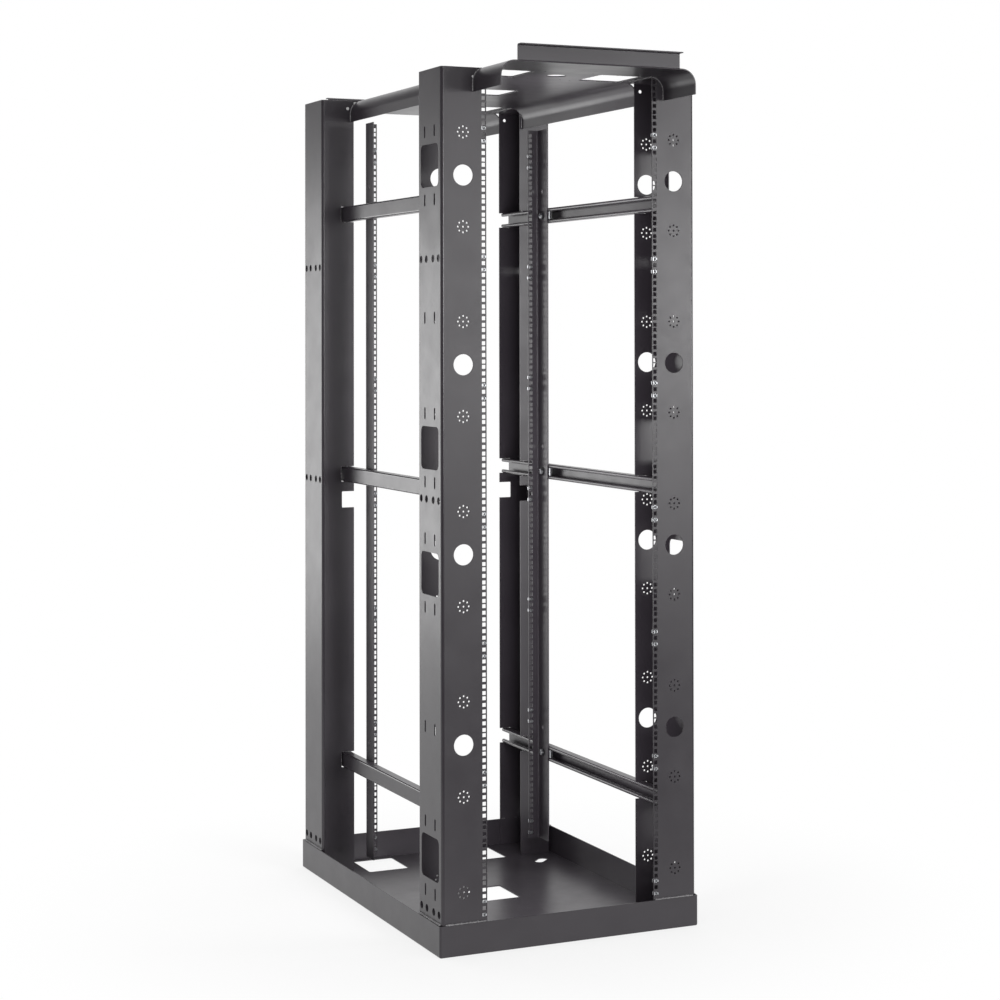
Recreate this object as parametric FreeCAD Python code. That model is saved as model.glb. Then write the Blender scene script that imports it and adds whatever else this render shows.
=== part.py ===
import FreeCAD, Part
import math
import os

# Four post open frame rack of bent sheet steel, sizes in millimetres.
# Z is up, the front faces -Y, and the origin is on the floor below the middle of the rack.
# Left pieces are drawn at negative X, and right pieces are their mirror images.

# Overall sizes over the four posts
rack_width = 685.8
rack_depth = 1035.4
post_depth = 152.4
post_height = 2133.6

# Sheet steel
sheet = 2.7
bend_inside = 4.5
bend_outside = bend_inside + sheet
cut_over = 1.0

# Base tray that the posts stand in
tray_gap_side = 3.65
tray_gap_end = 0.5
tray_height = 76.2
tray_floor = 3.0
tray_corner = 6.0
anchor_length = 54.0
anchor_width = 25.4
anchor_spacing_x = 556.0
anchor_spacing_y = 571.0

# Cable cut-outs, alike in the base tray and the top pan
cutout_width = 115.0
cutout_length = 140.0
cutout_from_middle = 148.0
cutout_from_end = 83.7

# Mounting columns: square holes in every rack space, 19 inch spacing
space_height = 44.45
space_hole_heights = (6.35, 22.225, 38.1)
square_hole = 9.5
column_spacing = 465.1
panel_opening = 450.85
first_space_above_tray = 9.5

# Post flanges: the front one reaches the panel opening, the others stop short of it
flange_setback = 25.4

# Large cable holes through both flanges of a front post
large_hole = 50.8
large_hole_from_edge = 34.925
large_hole_first = 504.0
large_hole_pitch = 457.2

# Windows in the web of a front post, in pairs above and below the middle of the columns
window_width = 114.3
window_height = 104.0
window_from_middle = (152.4, 838.2)

# Cable tie slots: a pair above and below each window, and lone pairs between the windows
slot_width = 8.0
slot_height = 29.0
slot_spacing = 63.5
slot_from_window = 83.5
lone_slot_from_middle = (-525.6, 468.4)

# Side rails: strut channel that opens to the inside
rail_height = 41.3
rail_depth = 25.4
rail_lip = 9.6
rail_lip_return = 7.0
rail_play = 0.3
low_rail_height = 320.0
high_rail_from_top = 314.6
middle_rail_share = 0.5233

# Spare notch below the middle rail in both flanges of a rear post
spare_notch_height = 44.45
spare_notch_depth = 34.925
spare_notch_drop = 70.5

# Rear mounting rails
mount_rail_from_front = 767.0
mount_rail_face = 33.0
mount_rail_flange = 60.3
mount_rail_above_tray = 0.8
mount_rail_below_top = 72.9

# Top pan with an upstand at each end and a round cable hole behind each upstand
pan_width = 520.0
pan_round = 44.45
pan_overhang = 169.0
pan_drop = 61.5
pan_play = 0.3
pan_hole = 50.8
upstand_height = 38.1
upstand_lip = 19.0
upstand_root = 9.0

# Cage nuts in the first and third hole of every seventh rack space
nut_every = 7
nut_width = 20.0
nut_height = 13.0
nut_depth = 5.5
nut_play = 0.15

# Strut nuts behind the lips of the side rails, where the mounting rails are bolted on
strut_nut_length = 34.0
strut_nut_height = 21.0
strut_nut_depth = 6.0
strut_nut_from_face = 27.0

# Positions that follow from the sizes above
half_width = rack_width / 2
half_depth = rack_depth / 2
post_top = tray_floor + post_height
pan_top = post_top + sheet
inner_edge_x = panel_opening / 2 + flange_setback
front_flange = half_width - panel_opening / 2
inner_flange = half_width - inner_edge_x
large_hole_x = inner_edge_x + large_hole_from_edge
column_x = column_spacing / 2
rail_inner_x = panel_opening / 2 + mount_rail_face
rail_outer_x = rail_inner_x + rail_depth
mount_face_y = -half_depth + mount_rail_from_front
first_space = tray_height + first_space_above_tray
space_count = int((post_top - first_space) / space_height)
columns_middle = first_space + (space_count // 2 - 1) * space_height
high_rail_height = post_top - high_rail_from_top
middle_rail_height = low_rail_height + middle_rail_share * (high_rail_height - low_rail_height)
rail_heights = {"low": low_rail_height, "middle": middle_rail_height, "high": high_rail_height}


def vec(x, y, z):
    return FreeCAD.Vector(x, y, z)


def outline(corners, place):
    """Closed wire through 2-D corners (a, b, radius), rounded where the radius is not zero."""
    points = []
    count = len(corners)
    for i in range(count):
        a, b, radius = corners[i]
        here = vec(a, b, 0)
        if radius == 0:
            points.append((here, None, here))
            continue
        before = corners[i - 1]
        after = corners[(i + 1) % count]
        to_before = (vec(before[0], before[1], 0) - here).normalize()
        to_after = (vec(after[0], after[1], 0) - here).normalize()
        half_angle = to_before.getAngle(to_after) / 2
        reach = radius / math.tan(half_angle)
        inward = (to_before + to_after).normalize()
        arc_middle = here + inward * (radius / math.sin(half_angle) - radius)
        points.append((here + to_before * reach, arc_middle, here + to_after * reach))
    edges = []
    for i in range(count):
        start, arc_middle, end = points[i]
        if arc_middle is not None:
            edges.append(Part.Arc(place(start), place(arc_middle), place(end)).toShape())
        following = points[(i + 1) % count][0]
        edges.append(Part.makeLine(place(end), place(following)))
    return Part.Wire(edges)


def prism_z(corners, bottom, top):
    wire = outline(corners, lambda p: vec(p.x, p.y, bottom))
    return Part.Face(wire).extrude(vec(0, 0, top - bottom))


def prism_y(corners, front, rear):
    wire = outline(corners, lambda p: vec(p.x, front, p.y))
    return Part.Face(wire).extrude(vec(0, rear - front, 0))


def prism_x(corners, left, right):
    wire = outline(corners, lambda p: vec(left, p.x, p.y))
    return Part.Face(wire).extrude(vec(right - left, 0, 0))


def block(x_range, y_range, z_range):
    size = [high - low for low, high in (x_range, y_range, z_range)]
    return Part.makeBox(size[0], size[1], size[2], vec(x_range[0], y_range[0], z_range[0]))


def around(middle, size):
    """Range of the given size centred on a middle value."""
    return (middle - size / 2, middle + size / 2)


def rectangle(width, depth, radius):
    """2-D corners of a rounded rectangle centred on the origin."""
    return [
        (-width / 2, -depth / 2, radius),
        (width / 2, -depth / 2, radius),
        (width / 2, depth / 2, radius),
        (-width / 2, depth / 2, radius),
    ]


def mirrored(shape):
    return shape.mirror(vec(0, 0, 0), vec(1, 0, 0))


def cut_all(shape, cutters):
    return shape.cut(Part.makeCompound(cutters))


def cable_cutouts(bottom, top):
    """Five cable cut-outs: one in the middle and one near each corner."""
    z_range = (bottom - cut_over, top + cut_over)
    cutters = [block(around(0, cutout_width), around(0, cutout_length), z_range)]
    for x in (-cutout_from_middle, cutout_from_middle):
        for y in (cutout_from_end - half_depth, half_depth - cutout_from_end):
            cutters.append(block(around(x, cutout_width), around(y, cutout_length), z_range))
    return cutters


def anchor_slot(x, y):
    """Cutter for a slot in the tray floor that points away from the middle of the tray."""
    flat = (around(0, anchor_length), around(0, anchor_width))
    slot = block(flat[0], flat[1], (-cut_over, tray_floor + cut_over))
    slot.rotate(vec(0, 0, 0), vec(0, 0, 1), math.degrees(math.atan2(y, x)))
    slot.translate(vec(x, y, 0))
    return slot


def base_tray():
    inside_width = rack_width + 2 * tray_gap_side
    inside_depth = rack_depth + 2 * tray_gap_end
    outer = rectangle(inside_width + 2 * sheet, inside_depth + 2 * sheet, tray_corner)
    inner = rectangle(inside_width, inside_depth, tray_corner - sheet)
    tray = prism_z(outer, 0, tray_height).cut(prism_z(inner, tray_floor, tray_height + cut_over))
    cutters = cable_cutouts(0, tray_floor)
    for x in (-anchor_spacing_x / 2, anchor_spacing_x / 2):
        for y in (-anchor_spacing_y / 2, anchor_spacing_y / 2):
            cutters.append(anchor_slot(x, y))
    return cut_all(tray, cutters)


def pan_section():
    """Cross section of the top pan: a flat with rounded shoulders and straight skirts."""
    outer = pan_width / 2
    inner = outer - sheet
    bottom = pan_top - pan_drop
    return [
        (-outer, bottom, 0),
        (-outer, pan_top, pan_round),
        (outer, pan_top, pan_round),
        (outer, bottom, 0),
        (inner, bottom, 0),
        (inner, post_top, pan_round - sheet),
        (-inner, post_top, pan_round - sheet),
        (-inner, bottom, 0),
    ]


def pan_post_cutters():
    """Room for the four posts: the skirts stop at their flanges, and the flat passes between them."""
    cutters = []
    x_range = (-pan_width / 2 - cut_over, -panel_opening / 2 + pan_play)
    z_range = (pan_top - pan_drop - cut_over, pan_top + cut_over)
    post_middle = half_depth - post_depth / 2
    for y in (-post_middle, post_middle):
        left = block(x_range, around(y, post_depth + 2 * pan_play), z_range)
        cutters += [left, mirrored(left)]
    return cutters


def pan_hole_cutters():
    cutters = []
    for y in (cutout_from_end - half_depth, half_depth - cutout_from_end):
        start = vec(0, y, post_top - cut_over)
        cutters.append(Part.makeCylinder(pan_hole / 2, sheet + 2 * cut_over, start))
    return cutters


def upstand():
    """Front upstand: the flat of the top pan bends up, and its top edge bends out."""
    edge = -half_depth - pan_overhang
    root = edge + upstand_root
    top = pan_top + upstand_height
    section = [
        (root, post_top, 0),
        (edge, post_top, bend_outside),
        (edge, top - sheet, bend_inside),
        (edge - upstand_lip, top - sheet, 0),
        (edge - upstand_lip, top, 0),
        (edge + sheet, top, bend_outside),
        (edge + sheet, pan_top, bend_inside),
        (root, pan_top, 0),
    ]
    flat_half = pan_width / 2 - pan_round
    return prism_x(section, -flat_half, flat_half)


def top_pan():
    edge = -half_depth - pan_overhang
    pan = prism_y(pan_section(), edge, -edge)
    flat = around(0, pan_width - 2 * pan_round)
    z_range = (post_top - cut_over, pan_top + cut_over)
    cutters = cable_cutouts(post_top, pan_top) + pan_post_cutters() + pan_hole_cutters()
    cutters.append(block(flat, (edge - cut_over, edge + upstand_root), z_range))
    cutters.append(block(flat, (-edge - upstand_root, -edge + cut_over), z_range))
    front = upstand()
    rear = front.mirror(vec(0, 0, 0), vec(0, 1, 0))
    return cut_all(pan, cutters).fuse([front, rear]).removeSplitter()


def channel_post(front_y, front_width, rear_width):
    """Left post: an upright channel that opens to the inside."""
    outer = -half_width
    rear_y = front_y + post_depth
    section = [
        (outer, front_y, bend_outside),
        (outer + front_width, front_y, 0),
        (outer + front_width, front_y + sheet, 0),
        (outer + sheet, front_y + sheet, bend_inside),
        (outer + sheet, rear_y - sheet, bend_inside),
        (outer + rear_width, rear_y - sheet, 0),
        (outer + rear_width, rear_y, 0),
        (outer, rear_y, bend_outside),
    ]
    return prism_z(section, tray_floor, post_top)


def column_cutters(face_y, top):
    """Square holes of a left column, through the sheet behind face_y and whole below its top."""
    cutters = []
    x_range = around(-column_x, square_hole)
    y_range = (face_y - cut_over, face_y + sheet + cut_over)
    for space in range(space_count):
        for height in space_hole_heights:
            middle = first_space + space * space_height + height
            if middle + square_hole < top:
                cutters.append(block(x_range, y_range, around(middle, square_hole)))
    return cutters


def large_hole_cutters(front_y):
    """Large round cable holes, each through both flanges of a front post."""
    cutters = []
    height = large_hole_first
    while height + large_hole < pan_top - pan_drop:
        start = vec(-large_hole_x, front_y - cut_over, height)
        cutters.append(Part.makeCylinder(large_hole / 2, post_depth + 2 * cut_over, start, vec(0, 1, 0)))
        height += large_hole_pitch
    return cutters


def window_cutters(front_y):
    cutters = []
    x_range = (-half_width - cut_over, -half_width + sheet + cut_over)
    y_range = around(front_y + post_depth / 2, window_width)
    for distance in window_from_middle:
        for middle in (columns_middle - distance, columns_middle + distance):
            cutters.append(block(x_range, y_range, around(middle, window_height)))
    return cutters


def tie_slot_cutters(front_y):
    heights = [columns_middle + distance for distance in lone_slot_from_middle]
    for distance in window_from_middle:
        for window in (columns_middle - distance, columns_middle + distance):
            heights += [window - slot_from_window, window + slot_from_window]
    cutters = []
    x_range = (-half_width - cut_over, -half_width + sheet + cut_over)
    web_middle = front_y + post_depth / 2
    for height in heights:
        for y in (web_middle - slot_spacing / 2, web_middle + slot_spacing / 2):
            cutters.append(block(x_range, around(y, slot_width), around(height, slot_height)))
    return cutters


def rail_notch_cutters(front_y, rear_y):
    """Notches for the side rails in the flanges between front_y and rear_y."""
    x_range = (-rail_outer_x - rail_play, 0)
    return [block(x_range, (front_y, rear_y), around(height, rail_height + 2 * rail_play))
            for height in rail_heights.values()]


def front_post():
    front_y = -half_depth
    rear_y = front_y + post_depth
    post = channel_post(front_y, front_flange, inner_flange)
    cutters = column_cutters(front_y, post_top)
    cutters += large_hole_cutters(front_y)
    cutters += window_cutters(front_y)
    cutters += tie_slot_cutters(front_y)
    cutters += rail_notch_cutters(rear_y - sheet - cut_over, rear_y + cut_over)
    return cut_all(post, cutters)


def rear_post():
    rear_y = half_depth
    front_y = rear_y - post_depth
    through = (front_y - cut_over, rear_y + cut_over)
    post = channel_post(front_y, inner_flange, inner_flange)
    spare_x = (-inner_edge_x - spare_notch_depth, 0)
    spare_z = around(middle_rail_height - spare_notch_drop, spare_notch_height)
    cutters = rail_notch_cutters(through[0], through[1])
    cutters.append(block(spare_x, through, spare_z))
    return cut_all(post, cutters)


def side_rail(middle):
    """Left side rail from the front flange to the rear flange, with lips on its open inner side."""
    outer = -rail_outer_x
    inner = -rail_inner_x
    low = middle - rail_height / 2
    high = middle + rail_height / 2
    lip_end = inner - rail_lip_return
    section = [
        (outer, low, bend_outside),
        (inner, low, 0),
        (inner, low + rail_lip, 0),
        (lip_end, low + rail_lip, 0),
        (lip_end, low + rail_lip - sheet, 0),
        (inner - sheet, low + rail_lip - sheet, 0),
        (inner - sheet, low + sheet, 0),
        (outer + sheet, low + sheet, bend_inside),
        (outer + sheet, high - sheet, bend_inside),
        (inner - sheet, high - sheet, 0),
        (inner - sheet, high - rail_lip + sheet, 0),
        (lip_end, high - rail_lip + sheet, 0),
        (lip_end, high - rail_lip, 0),
        (inner, high - rail_lip, 0),
        (inner, high, 0),
        (outer, high, bend_outside),
    ]
    return prism_y(section, -half_depth + sheet + rail_play, half_depth)


def mounting_rail():
    """Left rear mounting rail: an angle whose side flange runs forward from the punched face."""
    inner = -panel_opening / 2
    outer = -rail_inner_x
    front = mount_face_y - mount_rail_flange
    section = [
        (inner, mount_face_y, 0),
        (inner, mount_face_y + sheet, 0),
        (outer, mount_face_y + sheet, bend_outside),
        (outer, front, 0),
        (outer + sheet, front, 0),
        (outer + sheet, mount_face_y, bend_inside),
    ]
    top = post_top - mount_rail_below_top
    rail = prism_z(section, tray_height + mount_rail_above_tray, top)
    return cut_all(rail, column_cutters(mount_face_y, top))


def strut_nuts():
    """Nuts in the three left side rails, held against the ends of the lips."""
    face = -rail_inner_x - rail_lip_return
    y_range = around(mount_face_y - strut_nut_from_face, strut_nut_length)
    nuts = [block((face - strut_nut_depth, face), y_range, around(height, strut_nut_height))
            for height in rail_heights.values()]
    return Part.makeCompound(nuts)


def cage_nuts(face_y):
    """Cage nuts of a left column: a body behind the sheet and a neck in the square hole."""
    nuts = []
    neck = square_hole - 2 * nut_play
    back = face_y + sheet
    for space in range(0, space_count, nut_every):
        for height in (space_hole_heights[0], space_hole_heights[-1]):
            middle = first_space + space * space_height + height
            body = block(around(-column_x, nut_width), (back, back + nut_depth), around(middle, nut_height))
            front = block(around(-column_x, neck), (face_y, back), around(middle, neck))
            nuts.append(body.fuse(front))
    return Part.makeCompound(nuts)


def save(name, shape):
    shape.exportStep("parts/" + name + ".step")


def save_pair(name, shape):
    """Save a left piece and its mirror image, with left or right in place of SIDE."""
    save(name.replace("SIDE", "left"), shape)
    save(name.replace("SIDE", "right"), mirrored(shape))


os.makedirs("parts", exist_ok=True)
save("base_tray", base_tray())
save("top_pan", top_pan())
save_pair("front_SIDE_post", front_post())
save_pair("rear_SIDE_post", rear_post())
save_pair("rear_SIDE_mounting_rail", mounting_rail())
save_pair("front_SIDE_cage_nuts", cage_nuts(-half_depth))
save_pair("rear_SIDE_cage_nuts", cage_nuts(mount_face_y))
save_pair("SIDE_strut_nuts", strut_nuts())
for level, height in rail_heights.items():
    save_pair("SIDE_side_rail_" + level, side_rail(height))
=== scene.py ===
import math

import bmesh
import bpy
from mathutils import Matrix, Vector, noise
from mathutils.geometry import delaunay_2d_cdt


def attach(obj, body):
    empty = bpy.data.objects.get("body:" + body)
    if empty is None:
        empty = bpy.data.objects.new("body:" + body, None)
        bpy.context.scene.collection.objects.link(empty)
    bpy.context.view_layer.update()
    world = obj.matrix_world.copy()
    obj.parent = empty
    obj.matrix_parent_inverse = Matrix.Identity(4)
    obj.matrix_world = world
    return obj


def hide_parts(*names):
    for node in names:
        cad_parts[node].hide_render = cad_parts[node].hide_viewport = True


# Looks of the four post open frame rack. Sizes are in millimetres, in the same frame as the solids.
# Left pieces are drawn at negative X, and right pieces are their mirror images.
mm = 0.001

# Posts and their sheet
sheet = 2.7
bend_inside = 4.5
rack_width = 685.8
rack_depth = 1035.4
post_depth = 152.4
post_bottom = 3.0
post_top = 2136.6
panel_opening = 450.85
flange_setback = 25.4

# Square holes of the mounting columns
space_height = 44.45
space_hole_heights = (6.35, 22.225, 38.1)
space_count = 46
first_space = 85.7
square_hole = 9.5
square_corner = 0.5
column_spacing = 465.1

# Round holes in the flanges of the front posts
cable_hole = 50.8
cable_hole_x = 285.75
cable_hole_heights = (504.0, 961.2, 1418.4, 1875.6)
rosette_first = 150.8
rosette_pitch = 228.6
rosette_count = 9
rosette_ring = 27.0
rosette_hole = 4.8
lug_hole = 9.0
lug_hole_x = 268.0
lug_hole_height = 2115.0
front_lug_hole = 6.0
front_lug_x = 260.0

# Windows, tie slots and rows of bolt holes in the webs
columns_middle = 1063.55
window_width = 114.3
window_height = 104.0
window_round = 14.0
window_from_middle = (-838.2, -152.4, 152.4, 838.2)
slot_width = 8.0
slot_height = 29.0
slot_spacing = 63.5
slot_from_window = 83.5
lone_slot_from_middle = (-525.6, 468.4)
join_hole = 18.0
join_offsets = (-57.15, -22.225, 22.225, 57.15)
join_heights = (98.5, 1091.0, 1675.0)

# Side rails and the notches that they sit in
rail_heights = (320.0, 1106.0, 1822.0)
rail_height = 41.3
rail_depth = 25.4
rail_lip = 9.6
rail_lip_return = 7.0
rail_bend_inside = 1.2
rail_play = 0.3
spare_notch_drop = 70.5
spare_notch_height = 44.45
spare_notch_depth = 34.925
notch_round = 2.0
notch_gap_side = 4.0
notch_gap_height = 0.5
rail_corner_inside = 1.6

# Rear mounting rails
mount_face = 33.0
mount_flange = 60.3
mount_rail_from_front = 767.0
mount_rail_bottom = 77.0
mount_rail_top = 2063.7
mount_bolt_from_face = 27.0
mount_small_hole = 12.0
mount_small_hole_above_bolt = 69.0

# Top pan
pan_width = 520.0
pan_round = 38.1
pan_overhang = 169.0
pan_drop = 61.5
pan_play = 0.3
upstand_height = 38.1
upstand_lip = 19.0
upstand_root = 9.0
upstand_half_width = 215.5
upstand_bend_inside = 1.5
pan_seam = 0.02
cable_cutout_width = 115.0
cable_cutout_length = 140.0
cable_cutout_round = 6.0
cable_cutout_x = 148.0
cable_cutout_from_end = 83.7
pan_hole = 50.8
screw_hole = 5.0
pan_screws = ((65, 6), (45, 160), (77, 172), (206, -29))

# Base tray
tray_gap_side = 3.65
tray_gap_end = 0.5
tray_height = 76.2
tray_floor = 3.0
tray_corner = 6.0
tray_fold = 4.0
anchor_length = 54.0
anchor_width = 25.4
anchor_round = 12.0
anchor_spacing_x = 556.0
anchor_spacing_y = 571.0

# Cage nuts, strut nuts and rail bolts
nut_every = 7
nut_width = 13.4
nut_height = 13.0
nut_depth = 5.5
nut_boss = 8.8
cage_sheet = 0.7
cage_round = 1.0
cage_grip_play = 0.15
cage_boss_play = 0.4
cage_nut_gap = 0.3
cage_wing_height = 6.8
cage_lip_height = 4.8
cage_lip_reach = 0.9
cage_lip_from_face = 0.1
cage_wall_share = 0.55
nut_narrower = 2.0
nut_shorter = 2.4
nut_round = 0.8
boss_from_face = 0.9
boss_chamfer = 0.5
boss_behind_body = 0.2
thread_hole = 5.6
thread_cut = 0.35
thread_pitch = 1.0
bore_chamfer = 0.6
strut_nut_length = 34.0
strut_nut_height = 21.0
strut_nut_depth = 6.0
strut_tongue_length = 12.0
strut_thread = 10.0
bolt_head = 18.0
bolt_head_height = 6.0
bolt_recess = 8.0
bolt_recess_floor = 2.0
bolt_rim_height = 1.6
washer_width = 24.0
washer_thickness = 1.8

# Edges and welds
edge_break = 0.3
tray_weld = 4.0
tray_weld_from_corner = 8.0
tray_weld_from_edge = 3.0
tray_weld_from_web_end = 4.0
weld_from_end = 2.0
weld_off_sheet = 0.4
pan_weld_outside = 1.6
pan_weld_inside = 1.3
weld_pitch = 2.6
weld_flatness = 0.62
weld_drift = 0.4
edge_bead = 0.7
sharp_edge = math.radians(34)

# Positions that follow
half_width = rack_width / 2
half_depth = rack_depth / 2
inner_edge_x = panel_opening / 2 + flange_setback
pan_top = post_top + sheet
pan_centre_x = pan_width / 2 - pan_round
pan_centre_z = pan_top - pan_round
column_x = column_spacing / 2
rail_inner_x = panel_opening / 2 + mount_face
rail_outer_x = rail_inner_x + rail_depth
mount_face_y = -half_depth + mount_rail_from_front

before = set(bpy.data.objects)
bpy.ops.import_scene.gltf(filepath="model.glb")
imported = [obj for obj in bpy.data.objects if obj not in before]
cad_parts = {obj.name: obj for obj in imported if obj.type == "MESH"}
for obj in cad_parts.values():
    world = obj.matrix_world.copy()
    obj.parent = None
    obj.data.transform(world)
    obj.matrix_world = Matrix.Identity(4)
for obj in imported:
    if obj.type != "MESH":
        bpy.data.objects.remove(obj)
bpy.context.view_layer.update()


# Loops and flat sheet

def arc_steps(radius):
    """Number of flats in a quarter turn."""
    return max(2, math.ceil(2.2 * math.sqrt(radius)))


def rounded(a, b, width, height, radius, angle=0.0, grow=0.0):
    """Loop round a rectangle with rounded corners. A circle is one whose radius is half its width."""
    half_a = width / 2 + grow
    half_b = height / 2 + grow
    steps = arc_steps(radius) if radius > 0 else 0
    reach = radius + grow if radius > 0 else 0
    loop = []
    for corner, (side_a, side_b) in enumerate(((1, 1), (-1, 1), (-1, -1), (1, -1))):
        centre_a = side_a * (half_a - reach)
        centre_b = side_b * (half_b - reach)
        for step in range(steps + 1):
            turn = math.pi / 2 * (corner + (step / steps if steps else 0.5))
            spread = reach if steps else 0
            point = Vector((centre_a + spread * math.cos(turn), centre_b + spread * math.sin(turn)))
            if not loop or (point - loop[-1]).length > 1e-5:
                loop.append(point)
    if (loop[0] - loop[-1]).length < 1e-5:
        loop.pop()
    turned = Matrix.Rotation(angle, 2)
    return [tuple(turned @ point + Vector((a, b))) for point in loop]


def circle(a, b, diameter):
    """Round hole, as the values that rounded takes."""
    return (a, b, diameter, diameter, diameter / 2)


def slot(a, b, width, height):
    """Hole with round ends, as the values that rounded takes."""
    return (a, b, width, height, min(width, height) / 2 - 0.01)


def strip(bm, first, second, closed=True):
    """Quads between two rows of vertices of the same length."""
    count = len(first)
    faces = []
    for i in range(count if closed else count - 1):
        j = (i + 1) % count
        faces.append(bm.faces.new((first[i], first[j], second[j], second[i])))
    return faces


def triangles_between(loops):
    """Triangles inside the first loop and outside the others, as numbers of points."""
    points = [Vector(point) for loop in loops for point in loop]
    faces = []
    start = 0
    for loop in loops:
        faces.append(list(range(start, start + len(loop))))
        start += len(loop)
    without_holes = 2
    made = delaunay_2d_cdt(points, [], faces, without_holes, 1e-6)
    number = {i: same[0] for i, same in enumerate(made[3])}
    return [[number[i] for i in face] for face in made[2]]


def panel(bm, place, outer, holes, thickness, joined=()):
    """Flat sheet from depth 0 to its thickness, with holes. A bend goes on at the joined outer edges."""
    def row(loop, depth):
        return [bm.verts.new(place(a, b, depth)) for a, b in loop]

    wide = [rounded(*hole, grow=edge_break) for hole in holes]
    triangles = triangles_between([outer] + wide)
    rims = {}
    for depth in (0, thickness):
        rims[depth] = [row(loop, depth) for loop in [outer] + wide]
        corners = [vert for rim in rims[depth] for vert in rim]
        for triangle in triangles:
            bm.faces.new([corners[i] for i in triangle])
    front = rims[0][0]
    back = rims[thickness][0]
    for i in range(len(outer)):
        if i not in joined:
            j = (i + 1) % len(outer)
            bm.faces.new((front[i], front[j], back[j], back[i]))
    for number, hole in enumerate(holes):
        narrow = rounded(*hole)
        near = row(narrow, edge_break)
        far = row(narrow, thickness - edge_break)
        strip(bm, rims[0][number + 1], near)
        strip(bm, near, far)
        strip(bm, far, rims[thickness][number + 1])


def fold(bm, section, side, low, high, place, holes=None, edges=None, thickness=sheet):
    """Bent sheet. section holds corners (p, q, inside radius) of one face.

    side tells on which side of that face the sheet lies.
    holes and edges give, for each straight run by number, its holes and the points of its free edge.
    """
    holes = holes or {}
    edges = edges or {}
    corners = [Vector((p, q)) for p, q, radius in section]
    runs = len(corners) - 1
    heading = [(corners[i + 1] - corners[i]).normalized() for i in range(runs)]
    inward = [Vector((-d.y, d.x)) * side for d in heading]
    reach = [0.0] * (runs + 1)
    towards = [True] * (runs + 1)
    for i in range(1, runs):
        towards[i] = heading[i - 1].cross(heading[i]) * side > 0
        reach[i] = section[i][2] + (thickness if towards[i] else 0)
    starts = [corners[i] + heading[i] * reach[i] for i in range(runs)]
    ends = [corners[i + 1] - heading[i] * reach[i + 1] for i in range(runs)]
    for i in range(runs):
        flat_run(bm, i, runs, starts[i], ends[i], inward[i], (low, high), place,
                 holes.get(i, ()), edges.get(i), thickness)
    for i in range(1, runs):
        turn = math.atan2(inward[i - 1].cross(inward[i]), inward[i - 1].dot(inward[i]))
        centre = ends[i - 1] + inward[i - 1] * (reach[i] if towards[i] else -reach[i])
        steps = arc_steps(reach[i])
        rows = {}
        for v in (low, high):
            for depth in (0, thickness):
                rows[v, depth] = []
                for step in range(steps + 1):
                    normal = Matrix.Rotation(turn * step / steps, 2) @ inward[i - 1]
                    point = centre + normal * ((depth - reach[i]) if towards[i] else (depth + reach[i]))
                    rows[v, depth].append(bm.verts.new(place(point.x, point.y, v)))
        for depth in (0, thickness):
            for face in strip(bm, rows[low, depth], rows[high, depth], closed=False):
                face.material_index = 1
        strip(bm, rows[low, 0], rows[low, thickness], closed=False)
        strip(bm, rows[high, 0], rows[high, thickness], closed=False)


def flat_run(bm, number, runs, start, end, inward, extent, place, holes, edge, thickness):
    """One flat run of a bent sheet. Its first coordinate is the one that changes along the run."""
    along_p = abs(end.x - start.x) > abs(end.y - start.y)

    def to_rack(u, v, depth):
        base = Vector((u, start.y)) if along_p else Vector((start.x, u))
        point = base + inward * depth
        return place(point.x, point.y, v)

    first = start.x if along_p else start.y
    last = end.x if along_p else end.y
    low, high = extent
    if edge is not None:
        joined_u = last if number == 0 else first
        outer = [(joined_u, low)] + edge + [(joined_u, high)]
        panel(bm, to_rack, outer, holes, thickness, (len(outer) - 1,))
        return
    outer = [(first, low), (last, low), (last, high), (first, high)]
    joined = [1] if number < runs - 1 else []
    if number > 0:
        joined.append(3)
    panel(bm, to_rack, outer, holes, thickness, joined)


def along_z(p, q, v):
    return Vector((p, q, v)) * mm


def along_y(p, q, v):
    return Vector((p, v, q)) * mm


def along_x(p, q, v):
    return Vector((v, p, q)) * mm


# Materials

coat_dark = (0.0265, 0.0224, 0.0276, 1)
coat_light = (0.0330, 0.0286, 0.0344, 1)
# Weld bead colours: lighter than the coat on the sheet, and their light end is painted glints.
weld_dark = (0.070, 0.066, 0.071, 1)
painted_weld_glint = (0.400, 0.392, 0.402, 1)
# Light grey that spots the ragged beads along cut edges.
edge_mark_grey = (0.42, 0.41, 0.42, 1)
zinc_dark = (0.46, 0.47, 0.49, 1)
zinc_light = (0.66, 0.67, 0.69, 1)
oxide_dark = (0.02, 0.02, 0.022, 1)
oxide_light = (0.045, 0.045, 0.05, 1)


def new_material(name):
    material = bpy.data.materials.new(name)
    material.use_nodes = True
    return material, material.node_tree.nodes, material.node_tree.links


def noise_node(nodes, links, scale, detail, roughness=0.5):
    coords = nodes.new("ShaderNodeTexCoord")
    texture = nodes.new("ShaderNodeTexNoise")
    texture.inputs["Scale"].default_value = scale
    texture.inputs["Detail"].default_value = detail
    texture.inputs["Roughness"].default_value = roughness
    links.new(coords.outputs["Object"], texture.inputs["Vector"])
    return texture


def ramp_node(nodes, links, source, low, high, start=0.3, end=0.7):
    """Colours or grey values from low to high over the middle of a texture's range."""
    ramp = nodes.new("ShaderNodeValToRGB")
    ramp.color_ramp.elements[0].position = start
    ramp.color_ramp.elements[1].position = end
    ramp.color_ramp.elements[0].color = low
    ramp.color_ramp.elements[1].color = high
    links.new(source, ramp.inputs["Fac"])
    return ramp.outputs["Color"]


def grey(value):
    return (value, value, value, 1.0)


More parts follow.
